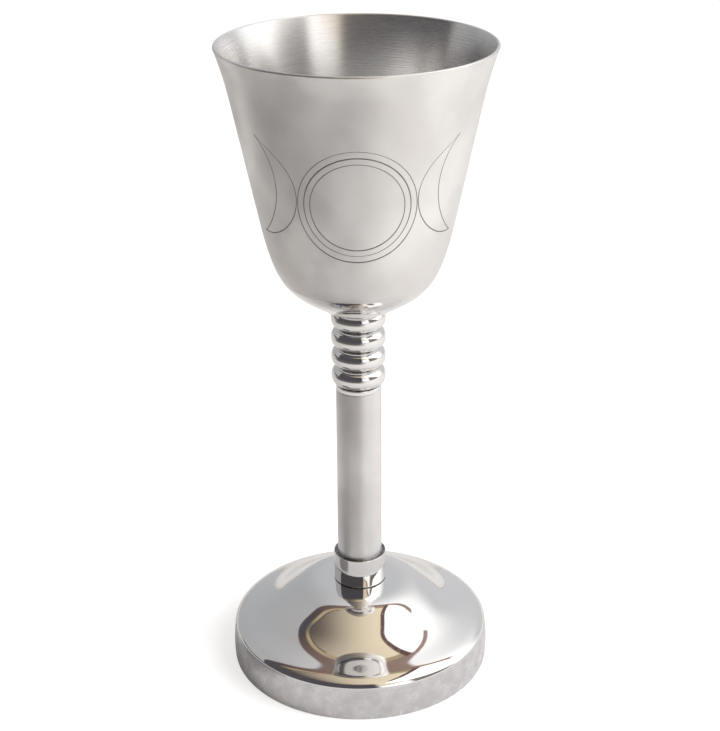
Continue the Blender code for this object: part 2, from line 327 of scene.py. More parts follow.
def placed(name, data):
    """A new object of this mesh, curve, lamp or camera, in the scene."""
    obj = bpy.data.objects.new(name, data)
    bpy.context.scene.collection.objects.link(obj)
    return obj


def smooth_shaded(obj, sharp):
    """Shades an object smooth except at edges that turn by more than sharp, in degrees."""
    obj.data.shade_smooth()
    obj.data.set_sharp_from_angle(angle=math.radians(sharp))
    return obj


def evaluated_mesh(obj):
    """A mesh of the object as its modifiers or bevel leave it."""
    graph = bpy.context.evaluated_depsgraph_get()
    return bpy.data.meshes.new_from_object(obj.evaluated_get(graph), depsgraph=graph)


def wire(name, points, radius, closed):
    """A round wire along points, as a mesh."""
    curve = bpy.data.curves.new(name, "CURVE")
    curve.dimensions = "3D"
    curve.bevel_depth = radius
    curve.bevel_resolution = 2
    curve.use_fill_caps = True
    spline = curve.splines.new("POLY")
    spline.points.add(len(points) - 1)
    for target, point in zip(spline.points, points):
        target.co = (*point, 1.0)
    spline.use_cyclic_u = closed
    guide = placed(name, curve)
    mesh = evaluated_mesh(guide)
    bpy.data.objects.remove(guide)
    shape = bmesh.new()
    shape.from_mesh(mesh)
    bmesh.ops.remove_doubles(shape, verts=shape.verts, dist=MERGE)
    bmesh.ops.recalc_face_normals(shape, faces=shape.faces)
    shape.to_mesh(mesh)
    shape.free()
    return mesh


def cut_with(obj, tool, operation):
    """Applies one exact Boolean and deletes the tool."""
    modifier = obj.modifiers.new("cut", "BOOLEAN")
    modifier.operation = operation
    modifier.solver = "EXACT"
    modifier.object = tool
    mesh = evaluated_mesh(obj)
    obj.modifiers.remove(modifier)
    bpy.data.objects.remove(tool)
    obj.data = mesh


# ---------------------------------------------------------------- engraving
ENGRAVING_Z = 0.1471                 # height of the full circle's centre on the front
CIRCLES = (                          # radius of each line of the full circle, and which way
    (0.0157, 0.8),                   # it fades: 1 is to the top and -1 to the bottom
    (0.0139, -1.0),
    (0.0122, 0.7),
)
CRESCENT_TOP = (0.0298, 0.0168)      # tips of the right crescent: round the cup, up its slope
CRESCENT_FOOT = (0.0296, -0.0113)
HOLLOW_CENTRE = (0.0404, 0.0025)     # its inner, hollow side is part of this circle
BACK_CENTRE = (0.0284, 0.0010)       # and the lower part of its back is part of this one
BACK_TURN = 150.0                    # the back leaves that circle here, for the top tip
BACK_PULL = 0.0050
TIP_PULL = 0.0060
TIP_SLOPE = 30.0
GROOVE_R = 0.00020                   # radius of the cutting edge
GROOVE_DEEP = 0.00009                # how far its centre runs above the metal where it cuts deep
GROOVE_FAINT = 0.00018               # and where it barely marks it
HOLLOW_FADE = 0.4                    # fading of the crescents' two sides, towards the top
BACK_FADE = 1.0
CIRCLE_STEPS = 180
CRESCENT_STEPS = 60
TIP_STEPS = 24
NORMAL_STEP = 0.0001                 # spacing of the points where exact normals are looked up


def direction(centre, point):
    """Degrees from +across, towards +up, of a point seen from a centre."""
    return math.degrees(math.atan2(point[1] - centre[1], point[0] - centre[0]))


def circle_line(radius):
    return arc((0.0, 0.0), radius, 0, 360, CIRCLE_STEPS)[:-1]


def hollow_line():
    """The inner side of the right crescent, from its top tip to its lower one."""
    radius = math.dist(HOLLOW_CENTRE, CRESCENT_TOP)
    start = direction(HOLLOW_CENTRE, CRESCENT_TOP)
    end = direction(HOLLOW_CENTRE, CRESCENT_FOOT) % 360
    return arc(HOLLOW_CENTRE, radius, start, end, CRESCENT_STEPS)


def back_line():
    """The outer side of the right crescent, from its lower tip to its top one."""
    radius = math.dist(BACK_CENTRE, CRESCENT_FOOT)
    start = direction(BACK_CENTRE, CRESCENT_FOOT) % 360
    round_part = arc(BACK_CENTRE, radius, start, BACK_TURN, CRESCENT_STEPS)
    r, up = round_part[-1]
    heading = math.radians(BACK_TURN - 90)
    tip = math.radians(TIP_SLOPE)
    return round_part + bezier((r, up),
                               (r + BACK_PULL * math.cos(heading), up + BACK_PULL * math.sin(heading)),
                               (CRESCENT_TOP[0] - TIP_PULL * math.cos(tip),
                                CRESCENT_TOP[1] - TIP_PULL * math.sin(tip)),
                               CRESCENT_TOP, TIP_STEPS)


def groove_lift(up, faint_up):
    """Lines are cut deep at one end of the pattern and fade towards the other."""
    fade = min(1.0, max(0.0, 0.5 + 0.5 * faint_up * up / CIRCLES[0][0]))
    if faint_up < 0:
        fade = fade * fade
    return GROOVE_DEEP + (GROOVE_FAINT - GROOVE_DEEP) * fade


def cup_mapper():
    """A function from (length round the cup, length up its slope, height off it) to a point."""
    path = cup_outer()[::-1]
    normals = [(-nr, -nz) for nr, nz in normals_of(path)]
    ups = [0.0]
    for a, b in zip(path, path[1:]):
        ups.append(ups[-1] + math.dist(a, b))
    first = next(i for i, (_, z) in enumerate(path) if z > ENGRAVING_Z)
    share = (ENGRAVING_Z - path[first - 1][1]) / (path[first][1] - path[first - 1][1])
    origin = ups[first - 1] + share * (ups[first] - ups[first - 1])

    def place(across, up, lift):
        i = next(k for k, value in enumerate(ups) if value > origin + up)
        t = (origin + up - ups[i - 1]) / (ups[i] - ups[i - 1])
        r, z = (path[i - 1][k] * (1 - t) + path[i][k] * t for k in (0, 1))
        nr, nz = (normals[i - 1][k] * (1 - t) + normals[i][k] * t for k in (0, 1))
        angle = across / r - math.pi / 2
        reach = r + lift * nr
        return (reach * math.cos(angle), reach * math.sin(angle), z + lift * nz)

    return place


def engrave(cup, groove_slot):
    """Cuts each line into the cup with a round-edged tool; the cut faces take groove_slot."""
    place = cup_mapper()
    circles = [(circle_line(radius), True, faint_up) for radius, faint_up in CIRCLES]
    hollows, backs = [], []
    for side in (1, -1):
        hollows.append(([(side * across, up) for across, up in hollow_line()], False, HOLLOW_FADE))
        backs.append(([(side * across, up) for across, up in back_line()], False, BACK_FADE))
    for lines in (circles + hollows, backs):
        shape = bmesh.new()
        for line, closed, faint_up in lines:
            points = [place(across, up, groove_lift(up, faint_up)) for across, up in line]
            shape.from_mesh(wire("line", points, GROOVE_R, closed))
        for face in shape.faces:
            face.material_index = groove_slot
        mesh = bpy.data.meshes.new("graver")
        shape.to_mesh(mesh)
        shape.free()
        for material in cup.data.materials:
            mesh.materials.append(material)
        cut_with(cup, placed("graver", mesh), "DIFFERENCE")


def true_normals(obj, outline, groove_slot):
    """Gives the turned faces the exact normals of their outline, which the cuts would disturb."""
    dense = []
    count = len(outline)
    for i in range(count):
        a, b = outline[i], outline[(i + 1) % count]
        dr, dz = b[0] - a[0], b[1] - a[1]
        length = math.hypot(dr, dz)
        if length < NO_LENGTH:
            continue
        parts = max(1, int(length / NORMAL_STEP))
        dense += [((a[0] + dr * k / parts, a[1] + dz * k / parts), i, k / parts)
                  for k in range(parts)]
    vertex_normals = closed_normals(outline)
    tree = KDTree(len(dense))
    for index, ((r, z), _, _) in enumerate(dense):
        tree.insert((r, z, 0.0), index)
    tree.balance()
    mesh = obj.data
    found = []
    for vertex in mesh.vertices:
        x, y, z = vertex.co
        r = math.hypot(x, y)
        _, index, _ = tree.find((r, z, 0.0))
        _, i, t = dense[index]
        a, b = vertex_normals[i], vertex_normals[(i + 1) % count]
        nr, nz = a[0] * (1 - t) + b[0] * t, a[1] * (1 - t) + b[1] * t
        if r < ON_AXIS:
            found.append((0.0, 0.0, math.copysign(1.0, nz)))
        else:
            found.append(Vector((nr * x / r, nr * y / r, nz)).normalized())
    corner_normals = []
    for polygon in mesh.polygons:
        cut_face = polygon.material_index == groove_slot
        for vertex_index in polygon.vertices:
            corner_normals.append(polygon.normal if cut_face else found[vertex_index])
    mesh.normals_split_custom_set(corner_normals)


def closed_normals(outline):
    """Unit vectors out of the metal at each point of a closed outline."""
    count = len(outline)
    normals = []
    for i in range(count):
        before, after = outline[i - 1], outline[(i + 1) % count]
        if outline[i][0] < ON_AXIS:
            normals.append((0.0, -1.0 if outline[i - 1][0] > ON_AXIS else 1.0))
            continue
        dr, dz = after[0] - before[0], after[1] - before[1]
        length = math.hypot(dr, dz)
        normals.append((-dz / length, dr / length))
    return normals


# ---------------------------------------------------------------- node trees
class Nodes:
    """A node tree, with short calls that add nodes and join them."""

    def __init__(self, tree):
        self.tree = tree

    def add(self, kind, inputs=None, **settings):
        node = self.tree.nodes.new("ShaderNode" + kind)
        for key, value in settings.items():
            setattr(node, key, value)
        for key, value in (inputs or {}).items():
            self.feed(node.inputs[key], value)
        return node

    def feed(self, socket, value):
        if isinstance(value, bpy.types.NodeSocket):
            self.tree.links.new(value, socket)
        else:
            socket.default_value = value

    def math(self, operation, a, b=0.0, c=0.0):
        return self.add("Math", {0: a, 1: b, 2: c}, operation=operation).outputs[0]

    def vector(self, operation, a, b=(0.0, 0.0, 0.0)):
        kind = {"DOT": "DOT_PRODUCT"}.get(operation, operation)
        node = self.add("VectorMath", {0: a, 1: b}, operation=kind)
        return node.outputs["Value" if operation in ("LENGTH", "DOT") else "Vector"]

    def ramp(self, value, start, end, low=0.0, high=1.0):
        """Goes smoothly from low at start to high at end."""
        node = self.add("MapRange", {"Value": value, "From Min": start, "From Max": end,
                                     "To Min": low, "To Max": high},
                        interpolation_type="SMOOTHSTEP")
        return node.outputs[0]

    def band(self, value, start, end, soft):
        """One between start and end, zero outside, with soft edges."""
        rise = self.ramp(value, start - soft, start + soft)
        fall = self.ramp(value, end - soft, end + soft, 1.0, 0.0)
        return self.math("MULTIPLY", rise, fall)

    def mix(self, share, a, b):
        node = self.add("Mix", {0: share, 6: a, 7: b}, data_type="RGBA")
        return node.outputs[2]

    def noise(self, vector, scale, detail=2.0, rough=0.5):
        node = self.add("TexNoise", {"Vector": vector, "Scale": scale, "Detail": detail,
                                     "Roughness": rough})
        return node.outputs[0]


def grey(value):
    """An opaque grey."""
    return (value, value, value, 1.0)


# ---------------------------------------------------------------- materials
BRUSH_TURN = 0.25                    # a quarter turn: reflections spread across the brushing
UNDER_CUP_R = (0.0203, 0.0209)       # the patch under the cup that is polished ends here
UNDER_CUP_Z = (0.1085, 0.1090)       # and the tube, which isn't, stays below this height
SATIN_TINTS = ((0.82, 0.81, 0.80, 1.0), (0.72, 0.70, 0.69, 1.0))
INNER_TINTS = ((0.84, 0.83, 0.82, 1.0), (0.70, 0.685, 0.68, 1.0))
POLISHED_TINTS = ((0.80, 0.79, 0.785, 1.0), (0.72, 0.71, 0.705, 1.0))
SKIRT_TINTS = ((0.84, 0.83, 0.83, 1.0), (0.70, 0.69, 0.70, 1.0))
# tints of the dark solder, also used for the painted contact shadow under the ferrule
SOLDER_AND_SHADE_TINTS = ((0.10, 0.10, 0.115, 1.0), (0.30, 0.28, 0.27, 1.0))
GROOVE_TINTS = ((0.34, 0.32, 0.305, 1.0), (0.18, 0.165, 0.16, 1.0))
ZINC_TINTS = ((0.70, 0.71, 0.72, 1.0), (0.52, 0.56, 0.62, 1.0))


def metal(name, colour, roughness):
    """A metal Principled material, its node helper, its shader and its object coordinates.

    The colour and the roughness are flat values, which the nodes then vary.
    """
    material = bpy.data.materials.new(name)
    material.use_nodes = True
    nodes = Nodes(material.node_tree)
    shader = material.node_tree.nodes["Principled BSDF"]
    nodes.feed(shader.inputs["Metallic"], 1.0)
    nodes.feed(shader.inputs["Base Color"], (*colour, 1.0))
    nodes.feed(shader.inputs["Roughness"], roughness)
    place = nodes.add("TexCoord").outputs["Object"]
    return material, nodes, shader, place


def around(nodes, place, turn_scale, height_scale, lean):
    """Coordinates that stretch a noise into rings about the axis, with the radius and the height.

    Lean is the share of the radius that is added to the height.
    """
    flat = nodes.vector("MULTIPLY", place, (1.0, 1.0, 0.0))
    radius = nodes.vector("LENGTH", flat)
    heading = nodes.vector("MULTIPLY", nodes.vector("NORMALIZE", flat),
                           (turn_scale, turn_scale, 0.0))
    height = nodes.add("SeparateXYZ", {0: place}).outputs[2]
    along = nodes.math("MULTIPLY_ADD", radius, lean, height)
    lift = nodes.add("CombineXYZ", {2: nodes.math("MULTIPLY", along, height_scale)}).outputs[0]
    return nodes.vector("ADD", heading, lift), radius, height


def brushed(nodes, shader, amount):
    """Reflections spread across the brushing, which runs round the axis."""
    tangent = nodes.add("Tangent", direction_type="RADIAL", axis="Z")
    nodes.feed(shader.inputs["Tangent"], tangent.outputs[0])
    nodes.feed(shader.inputs["Anisotropic"], amount)
    nodes.feed(shader.inputs["Anisotropic Rotation"], BRUSH_TURN)


def bump(nodes, shader, height, strength, distance):
    """Fine relief from a height; distance is the depth in metres of a height of 1."""
    node = nodes.add("Bump", {"Strength": strength, "Distance": distance, "Height": height})
    nodes.feed(shader.inputs["Normal"], node.outputs[0])


def satin_steel():
    """Spun and brushed: fine rings, faint cloudy wear, and a polished patch under the cup."""
    material, nodes, shader, place = metal("satin_steel", (0.80, 0.785, 0.77), 0.42)
    rings, radius, height = around(nodes, place, 3.0, 5200.0, 1.0)
    fine = nodes.noise(rings, 1.0, 3.0, 0.6)
    wide_rings, _, _ = around(nodes, place, 1.5, 420.0, 1.0)
    wide = nodes.noise(wide_rings, 1.0, 2.0)
    clouds = nodes.ramp(nodes.noise(place, 45.0, 3.0), 0.35, 0.65)
    worn = nodes.math("MULTIPLY_ADD", fine, 0.10, nodes.math("MULTIPLY", clouds, 0.14))
    satin = nodes.math("MULTIPLY_ADD", wide, 0.06, nodes.math("ADD", worn, 0.30))
    polish = nodes.math("MULTIPLY", nodes.ramp(radius, *UNDER_CUP_R, 1.0, 0.0),
                        nodes.ramp(height, *UNDER_CUP_Z))
    roughness = nodes.add("Mix", {0: polish, 2: satin, 3: 0.07}, data_type="FLOAT").outputs[0]
    nodes.feed(shader.inputs["Roughness"], roughness)
    tint = nodes.mix(nodes.math("MULTIPLY", clouds, 0.6), *SATIN_TINTS)
    nodes.feed(shader.inputs["Base Color"], tint)
    brushed(nodes, shader, nodes.math("MULTIPLY_ADD", polish, -0.45, 0.45))
    strength = nodes.math("MULTIPLY_ADD", polish, -0.10, 0.12)
    bump(nodes, shader, nodes.math("ADD", fine, wide), strength, 0.00002)
    return material


def inner_steel():
    """The inside of the cup: the same sheet, with stronger rings left by the brush."""
    material, nodes, shader, place = metal("inner_steel", (0.80, 0.79, 0.78), 0.3)
    rings, _, _ = around(nodes, place, 2.0, 3600.0, 1.0)
    fine = nodes.noise(rings, 1.0, 4.0, 0.65)
    wide_rings, _, _ = around(nodes, place, 1.0, 500.0, 1.0)
    wide = nodes.noise(wide_rings, 1.0, 2.0)
    nodes.feed(shader.inputs["Roughness"], nodes.math("MULTIPLY_ADD", fine, 0.16, 0.20))
    uneven = nodes.math("ADD", nodes.math("MULTIPLY", fine, 0.6), nodes.math("MULTIPLY", wide, 0.15))
    tint = nodes.mix(uneven, *INNER_TINTS)
    nodes.feed(shader.inputs["Base Color"], tint)
    brushed(nodes, shader, 0.8)
    bump(nodes, shader, fine, 0.06, 0.00001)
    return material


def polished_steel():
    """Buffed: a clear mirror with faint swirls, specks and hairline scratches."""
    material, nodes, shader, place = metal("polished_steel", (0.77, 0.76, 0.755), 0.04)
    rings, _, _ = around(nodes, place, 4.0, 2600.0, -1.0)
    swirl = nodes.noise(rings, 1.0, 3.0, 0.6)
    smear = nodes.noise(place, 90.0, 4.0, 0.6)
    scratch = nodes.noise(nodes.vector("MULTIPLY", place, (2600.0, 260.0, 1500.0)), 1.0, 2.0)
    hairs = nodes.ramp(scratch, 0.66, 0.74)
    roughness = nodes.math("MULTIPLY_ADD", smear, 0.07, 0.012)
    roughness = nodes.math("MULTIPLY_ADD", hairs, 0.10, roughness)
    nodes.feed(shader.inputs["Roughness"], roughness)
    tint = nodes.mix(nodes.math("MULTIPLY", smear, 0.5), *POLISHED_TINTS)
    nodes.feed(shader.inputs["Base Color"], tint)
    bump(nodes, shader, nodes.math("MULTIPLY_ADD", hairs, -0.5, swirl), 0.05, 0.00001)
    return material


def skirt_steel():
    """The foot's skirt: blasted to an even, sparkling satin."""
    material, nodes, shader, place = metal("skirt_steel", (0.80, 0.79, 0.79), 0.3)
    grain = nodes.noise(place, 2600.0, 3.0, 0.7)
    clouds = nodes.noise(place, 260.0, 3.0, 0.6)
    nodes.feed(shader.inputs["Roughness"], nodes.math("MULTIPLY_ADD", clouds, 0.20, 0.20))
    tint = nodes.mix(nodes.ramp(clouds, 0.3, 0.7), *SKIRT_TINTS)
    nodes.feed(shader.inputs["Base Color"], tint)
    bump(nodes, shader, grain, 0.5, 0.00005)
    return material


def solder_and_shade_steel():
    """The solder round the tube's foot, and painted contact shadow along the seam under the ferrule: dark,
    with a dull gloss.
    """
    material, nodes, shader, place = metal("solder_and_shade_steel", (0.2, 0.19, 0.19), 0.3)
    clouds = nodes.noise(place, 900.0, 3.0, 0.6)
    tint = nodes.mix(nodes.ramp(clouds, 0.35, 0.65), *SOLDER_AND_SHADE_TINTS)
    nodes.feed(shader.inputs["Base Color"], tint)
    nodes.feed(shader.inputs["Roughness"], nodes.math("MULTIPLY_ADD", clouds, 0.3, 0.12))
    bump(nodes, shader, clouds, 0.3, 0.00005)
    return material


def groove_steel():
    """The bottom of an engraved line: torn, dull and a little tarnished."""
    material, nodes, shader, place = metal("groove_steel", (0.34, 0.32, 0.31), 0.5)
    grit = nodes.noise(place, 9000.0, 3.0, 0.7)
    clouds = nodes.noise(place, 600.0, 2.0)
    tint = nodes.mix(clouds, *GROOVE_TINTS)
    nodes.feed(shader.inputs["Base Color"], tint)
    nodes.feed(shader.inputs["Roughness"], nodes.math("MULTIPLY_ADD", grit, 0.25, 0.38))
    bump(nodes, shader, grit, 0.4, 0.00003)
    return material


def zinc_plated_steel():
    """Bought-in fixings: bright zinc, with a cloudy passivated film."""
    material, nodes, shader, place = metal("zinc_plated_steel", (0.62, 0.64, 0.67), 0.3)
    clouds = nodes.noise(place, 500.0, 3.0, 0.6)
    grain = nodes.noise(place, 7000.0, 2.0)
    tint = nodes.mix(clouds, *ZINC_TINTS)
    nodes.feed(shader.inputs["Base Color"], tint)
    nodes.feed(shader.inputs["Roughness"], nodes.math("MULTIPLY_ADD", clouds, 0.22, 0.18))
    bump(nodes, shader, grain, 0.15, 0.00002)
    return material


# ---------------------------------------------------------------- pieces
def settle(piece, node, material=None):
    """Gives a piece its material and its place in the model."""
    if material:
        piece.data.materials.append(material)
    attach(piece, "root")
    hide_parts(node)


def make_cup(satin, inner, groove):
    """The engraved cup. Its material slots are 0 outside, 1 inside and 2 in the grooves."""
    groove_slot = 2
    outline = cup_outline()
    cup = turned("cup", outline, BIG_TURN)
    for material in (satin, inner, groove):
        cup.data.materials.append(material)
    side = len(cup_outer()) - 1          # rings of faces on the outer side, and on the inner one
    for polygon in cup.data.polygons:
        polygon.material_index = 1 if side <= polygon.index // BIG_TURN < 2 * side else 0
    engrave(cup, groove_slot)
    true_normals(cup, outline, groove_slot)
    settle(cup, "bowl")


def make_beads(polished):
    """Four rings with a full round outer side, stacked a hair apart."""
    for number, name in enumerate(BEADS):
        half = BEAD_PITCH / 2 - TOUCH
        middle = CUP_BOTTOM_Z - (number + 0.5) * BEAD_PITCH
        section = [(BEAD_R - half + half * abs(c) ** BEAD_FULL,
                    middle + math.copysign(half * abs(s) ** BEAD_FULL, s))
                   for c, s in arc((0.0, 0.0), 1.0, 90, -90, BEAD_STEPS)]
        bore = [(BEAD_BORE_R, middle - half), (BEAD_BORE_R, middle + half)]
        bead = turned("bead_%d" % (number + 1), section + bore, SMALL_TURN)
        settle(bead, name, polished)


def make_stem(satin, polished, solder_and_shade):
    """The neck with its shank and plug, the plain tube, and the ferrule with its solder and a painted
    contact shadow at its foot.
    """
    neck_top = CUP_BOTTOM_Z - len(BEADS) * BEAD_PITCH - TOUCH
    neck_bottom = TUBE_TOP_Z + NECK_GAP
    plug_r = TUBE_R - TUBE_WALL - TOUCH
    spigot = turned("neck", rounded([
        (SPIGOT_SHANK_R, SPIGOT_TOP_Z), (SPIGOT_SHANK_R, neck_top, 0), (NECK_R, neck_top),
        (NECK_R, neck_bottom), (plug_r, neck_bottom, 0), (plug_r, SPIGOT_BOTTOM_Z),
        (ROD_HOLE_R, SPIGOT_BOTTOM_Z), (ROD_HOLE_R, SPIGOT_TOP_Z)], SOFT_EDGE), SMALL_TURN)
    settle(spigot, "stem_spigot", polished)
    tube_top = neck_bottom - TOUCH
    tube_bottom = FOOT_CROWN_Z + FERRULE_FLOOR + 2 * TOUCH
    tube_bore_r = TUBE_R - TUBE_WALL
    tube = turned("tube", rounded([
        (TUBE_R, tube_top), (TUBE_R, tube_bottom), (tube_bore_r, tube_bottom),
        (tube_bore_r, tube_top)], FINE_EDGE), SMALL_TURN)
    settle(tube, "stem_tube", satin)
    socket_r = TUBE_R + 2 * TOUCH
    floor_z = FOOT_CROWN_Z + FERRULE_FLOOR
    ferrule = turned("ferrule", rounded([
        (FERRULE_R, FERRULE_TOP_Z), (FERRULE_R, FOOT_CROWN_Z + TOUCH, FERRULE_EDGE_R),
        (ROD_HOLE_R, FOOT_CROWN_Z + TOUCH), (ROD_HOLE_R, floor_z),
        (socket_r, floor_z, 0), (socket_r, FERRULE_TOP_Z)], SOFT_EDGE), SMALL_TURN)
    ferrule.data.materials.append(polished)
    ferrule.data.materials.append(solder_and_shade)
    for polygon in ferrule.data.polygons:
        # the level top faces are dark solder; the band at the bottom is painted contact shadow where the
        # ferrule meets the foot
        solder = polygon.normal.z > LEVEL and polygon.center.z > FERRULE_TOP_Z - SOLDER_DEPTH
        seam = polygon.center.z < FOOT_CROWN_Z + CONTACT_SHADE_HEIGHT
        polygon.material_index = 1 if solder or seam else 0
    settle(ferrule, "stem_ferrule")


def make_foot(polished, skirt):
    """The domed foot, polished above and satin on its skirt."""
    foot = turned("foot", foot_outline(ROD_HOLE_R), BIG_TURN)
    foot.data.materials.append(polished)
    foot.data.materials.append(skirt)
    for polygon in foot.data.polygons:
        polygon.material_index = 1 if polygon.center.z < FOOT_SATIN_Z else 0
    settle(foot, "base_dome")


def threaded(name, bottom, top, radius):
    """A rod with a helical thread, chamfered at both ends."""
    steps = THREAD_TURN
    rows = int((top - bottom) / THREAD_PITCH * THREAD_ROWS)
    verts = []
    for i in range(rows + 1):
        z = bottom + (top - bottom) * i / rows
        end = min(z - bottom, top - z)
        for j in range(steps):
            wave = abs(((z / THREAD_PITCH + j / steps) % 1.0) * 2 - 1)
            depth = THREAD_DEPTH * min(1.0, max(0.0, (1 + 2 * THREAD_FLAT) * wave - THREAD_FLAT))
            r = min(radius - depth, radius - THREAD_DEPTH + end)
            angle = math.tau * j / steps
            verts.append((r * math.cos(angle), r * math.sin(angle), z))
    faces = [tuple(range(steps))[::-1], tuple(range(rows * steps, (rows + 1) * steps))]
    for i in range(rows):
        for j in range(steps):
            k = (j + 1) % steps
            faces.append((i * steps + j, i * steps + k, (i + 1) * steps + k, (i + 1) * steps + j))
    mesh = bpy.data.meshes.new(name)
    mesh.from_pydata(verts, [], faces)
    return smooth_shaded(placed(name, mesh), THREAD_SHARP)


def plain_box(name, corners):
    """A closed box from its lower ring and upper ring of four points each."""
    faces = [(3, 2, 1, 0), (4, 5, 6, 7)]
    for j in range(4):
        k = (j + 1) % 4
        faces.append((j, k, 4 + k, 4 + j))
    mesh = bpy.data.meshes.new(name)
    mesh.from_pydata(corners, [], faces)
    return placed(name, mesh)


def make_fixings(polished, zinc):
    """The boss under the cup, and the rod, washers and nut that clamp the stack to the foot."""
    boss_r, boss_bottom, _ = extent("bowl_boss")
    boss_top = CUP_BOTTOM_Z - TOUCH
    hole_top = extent("tie_rod")[2] + BOSS_BLIND_GAP
    boss = turned("boss", rounded([
        (0.0, boss_top, 0), (boss_r, boss_top), (boss_r, boss_bottom), (ROD_HOLE_R, boss_bottom),
        (ROD_HOLE_R, hole_top, 0), (0.0, hole_top, 0)], FINE_EDGE), SMALL_TURN)
    settle(boss, "bowl_boss", polished)

    rod_r, rod_bottom, rod_top = extent("tie_rod")
    rod = threaded("rod", rod_bottom, rod_top, rod_r)
    settle(rod, "tie_rod", zinc)

    washer_r, low, high = extent("clamp_washer")
    washer_top = FOOT_CROWN_Z - SHEET - TOUCH
    washer_bottom = washer_top - (high - low)
    washer = turned("washer", rounded([
        (washer_r, washer_top), (washer_r, washer_bottom), (ROD_HOLE_R, washer_bottom),
        (ROD_HOLE_R, washer_top)], FINE_EDGE), SMALL_TURN)
    settle(washer, "clamp_washer", zinc)

    spring_low, spring_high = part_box("spring_washer")
    spring_r = spring_high.y
    spring_top = washer_bottom - TOUCH
    spring_bottom = spring_top - (spring_high.z - spring_low.z)
    spring = turned("spring", rounded([
        (spring_r, spring_top), (spring_r, spring_bottom), (ROD_HOLE_R, spring_bottom),
        (ROD_HOLE_R, spring_top)], SPRING_EDGE), SMALL_TURN)
    lean = SPRING_SLANT * (spring_top - spring_bottom)
    near, far = SPLIT_REACH
    corners = []
    for z, shift in ((spring_bottom - TOUCH, -lean / 2), (spring_top + TOUCH, lean / 2)):
        for x, side in ((near, -1), (far, -1), (far, 1), (near, 1)):
            corners.append((x, side * SPRING_SPLIT / 2 - shift, z))
    cut_with(spring, plain_box("split", corners), "DIFFERENCE")
    settle(smooth_shaded(spring, CUT_SHARP), "spring_washer", zinc)

    nut_low, nut_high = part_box("hex_nut")
    nut_top = spring_bottom - TOUCH
    nut_bottom = nut_top - (nut_high.z - nut_low.z)
    face_r, corner_r = nut_high.x, nut_high.y
    nut = turned("nut", [
        (face_r, nut_top), (corner_r, nut_top - NUT_CHAMFER),
        (corner_r, nut_bottom + NUT_CHAMFER), (face_r, nut_bottom),
        (ROD_HOLE_R, nut_bottom), (rod_r, nut_bottom + NUT_CHAMFER),
        (rod_r, nut_top - NUT_CHAMFER), (ROD_HOLE_R, nut_top)], NUT_TURN, CUT_SHARP)
    hexagon = bmesh.new()
    bmesh.ops.create_cone(hexagon, cap_ends=True, segments=6, radius1=face_r / COS_30,
                          radius2=face_r / COS_30, depth=2 * (nut_top - nut_bottom))
    bmesh.ops.translate(hexagon, verts=hexagon.verts, vec=(0, 0, (nut_top + nut_bottom) / 2))
    mesh = bpy.data.meshes.new("hexagon")
    hexagon.to_mesh(mesh)
    hexagon.free()
    cut_with(nut, placed("hexagon", mesh), "INTERSECT")
    settle(smooth_shaded(nut, CUT_SHARP), "hex_nut", zinc)


# ---------------------------------------------------------------- room
# The camera sees a white backdrop and a pale floor. What the polished metal reflects is a room,
# painted on the world by direction, and a table in place of the floor. Colours are linear RGBA.
# Headings are in degrees, with 0 towards -Y and 90 towards +X. Rises are degrees above level.
FLOOR_HALF = 8.0
PAPER_DARK = grey(0.44)              # the floor as the camera sees it
PAPER_LIGHT = grey(0.46)
PAPER_GLOW = 0.66
TABLE_DARK = (0.46, 0.46, 0.475, 1.0)
TABLE_LIGHT = (0.74, 0.74, 0.75, 1.0)
TABLE_OPEN = (0.76, 0.755, 0.755, 1.0)
# painted light: the table is lighter on the right, the side of the lamp and the window
TABLE_LIT_RIGHT = (0.82, 0.82, 0.82, 1.0)
# painted shade on the table: the dark past its front end, and the painted shadow beside the foot
TABLE_SHADE = (0.15, 0.145, 0.15, 1.0)
TABLE_NEAR = (0.06, 0.12)            # distances over which its grain gives way to TABLE_OPEN
TABLE_LIT_TURN = (0.0, 0.2)              # distances along +X over which the table lightens: painted light on the right
TABLE_EDGE = (0.22, 0.34)            # distances over which painted shade darkens it in front, past the table's end
TABLE_FRONT = (-107.0, 19.0)         # between these headings
SHADOW_PATCH_PLACE = (-0.070, -0.022, 0.0)  # painted shadow: a dark patch beside the foot, for the chalice's cast shadow on the table
SHADOW_PATCH_FADE = (0.020, 0.036)
SHADOW_PATCH_SHARE = 0.85

WALL_LEFT = (0.52, 0.505, 0.50, 1.0)
WALL_RIGHT = (1.65, 1.63, 1.60, 1.0)
WALL_FAR = (0.46, 0.485, 0.515, 1.0)
WALL_TURN = (-0.6, 0.7)              # x over which the left wall gives way to the right one
WALL_FADE = (0.1, 0.8)               # y over which the far wall comes in
WALL_FAR_SHARE = 0.7
BORDER = (0.08, 0.062, 0.062, 1.0)
BORDER_LIT = (0.42, 0.29, 0.24, 1.0)
BORDER_TURN = (-1.1, 0.7)            # spread, x over z, over which the border lightens
CEILING = (0.50, 0.40, 0.25, 1.0)
CEILING_DIM = (0.16, 0.13, 0.11, 1.0)
CEILING_LIT = (1.02, 0.88, 0.65, 1.0)
CEILING_TURN = (-0.8, 0.35)
PILLAR = (0.26, 0.24, 0.225, 1.0)
PILLAR_HEADINGS = (44.0, 86.0)
PILLAR_RISES = (-25.0, 40.0)
CORNER = (0.72, 0.72, 0.74, 1.0)
CORNER_HEADINGS = (122.0, 200.0)
CORNER_RISES = (-30.0, 25.0)
SHADE = (0.095, 0.09, 0.10, 1.0)
SHADE_HEADINGS = (-122.0, 15.0)
SHADE_TOP = (44.0, 56.0)             # rises over which the upper shade ends
SHADE_RISES = (-12.0, 7.0)           # the lower shade, across the horizon
WINDOW_FRAME = (0.17, 0.10, 0.09, 1.0)
WINDOW = (1.9, 1.86, 1.82, 1.0)
BACKDROP = grey(1.0)

